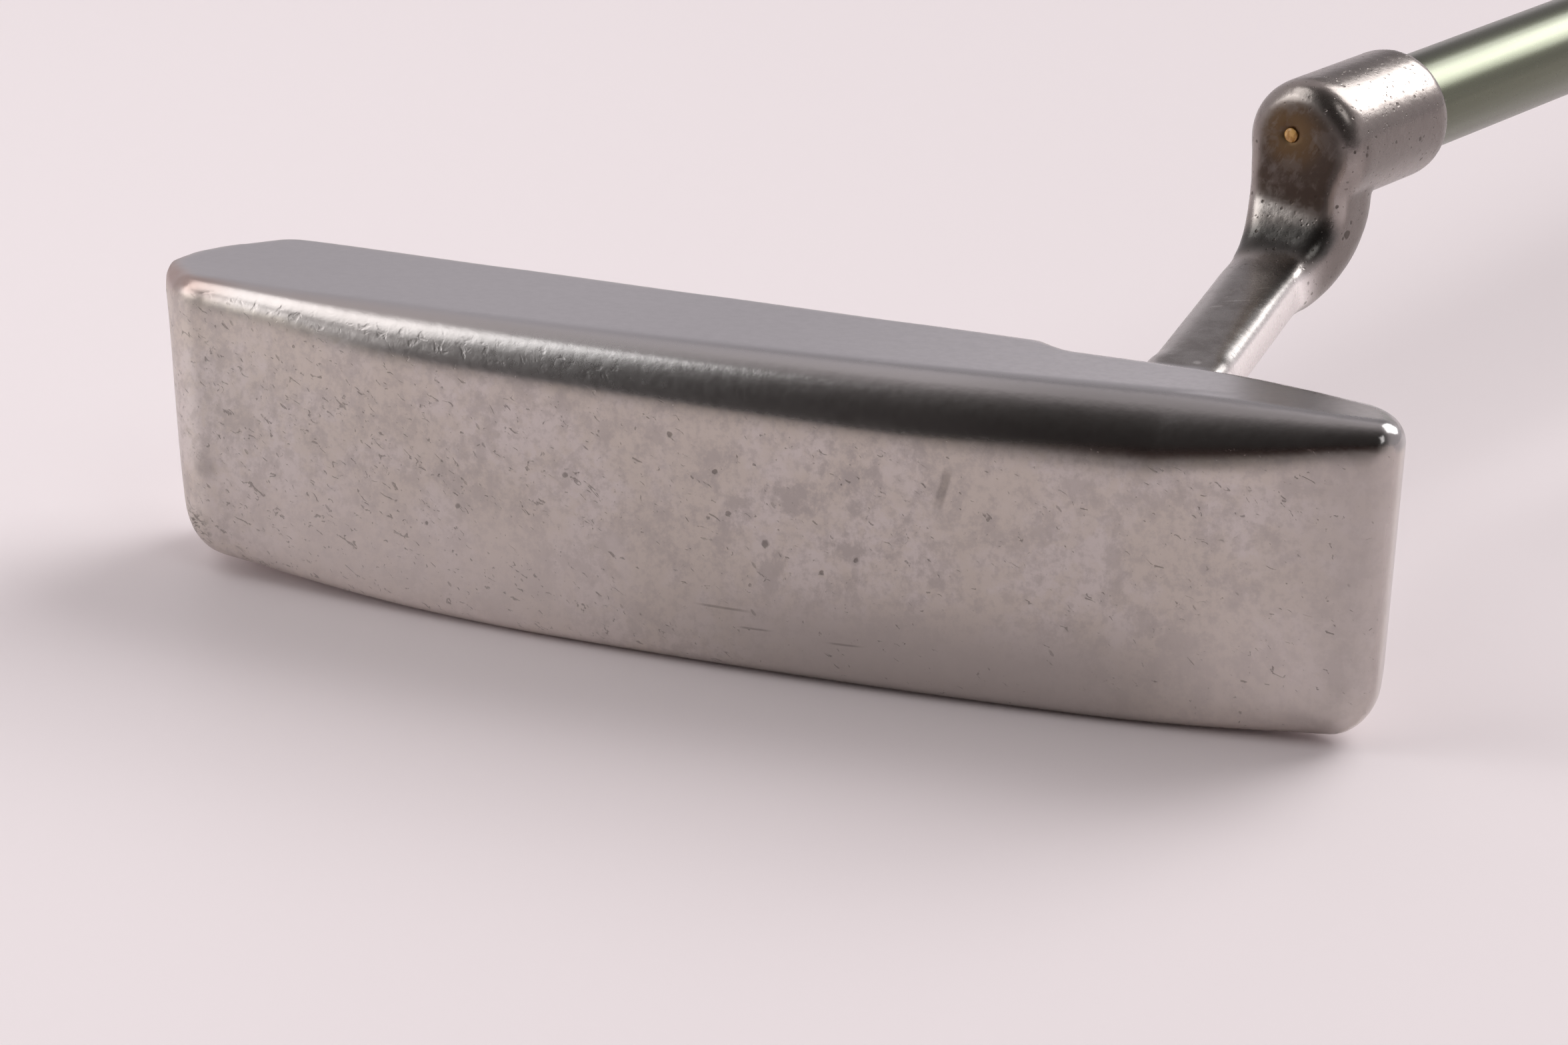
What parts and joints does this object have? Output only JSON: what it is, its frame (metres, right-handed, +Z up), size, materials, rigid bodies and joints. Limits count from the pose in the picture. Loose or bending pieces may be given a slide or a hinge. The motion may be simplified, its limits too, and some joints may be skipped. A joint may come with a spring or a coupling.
{
  "type": "blade putter",
  "caption": "Right-handed blade putter: heel and toe weighted steel head on an offset neck, green steel shaft and flat-front rubber grip, lying face up.",
  "frame": {"origin": "bottom centre of the whole club's box, on the table that it lies on", "axes": "+Z up, +Y along the shaft from head to grip as seen from above, +X towards the heel's side"},
  "size_m": [0.115, 0.91, 0.0433],
  "materials": {
    "cast_steel": "worn satin casting",
    "amber_resin": "cured glue",
    "green_steel": "green metallic coating on steel",
    "cork": "raw cork",
    "tape": "matt",
    "grip_rubber": "matt moulded",
    "cap_rubber": "matt moulded",
    "white_paint": "paint fill"
  },
  "bodies": {
    "root": {"head": "cast_steel", "hosel_epoxy": "amber_resin", "shaft": "green_steel", "shaft_tip_plug": "cork", "grip_tape": "tape", "grip": "grip_rubber", "grip_cap": "cap_rubber", "sight_line_fill": "white_paint"}
  },
  "joints": []
}
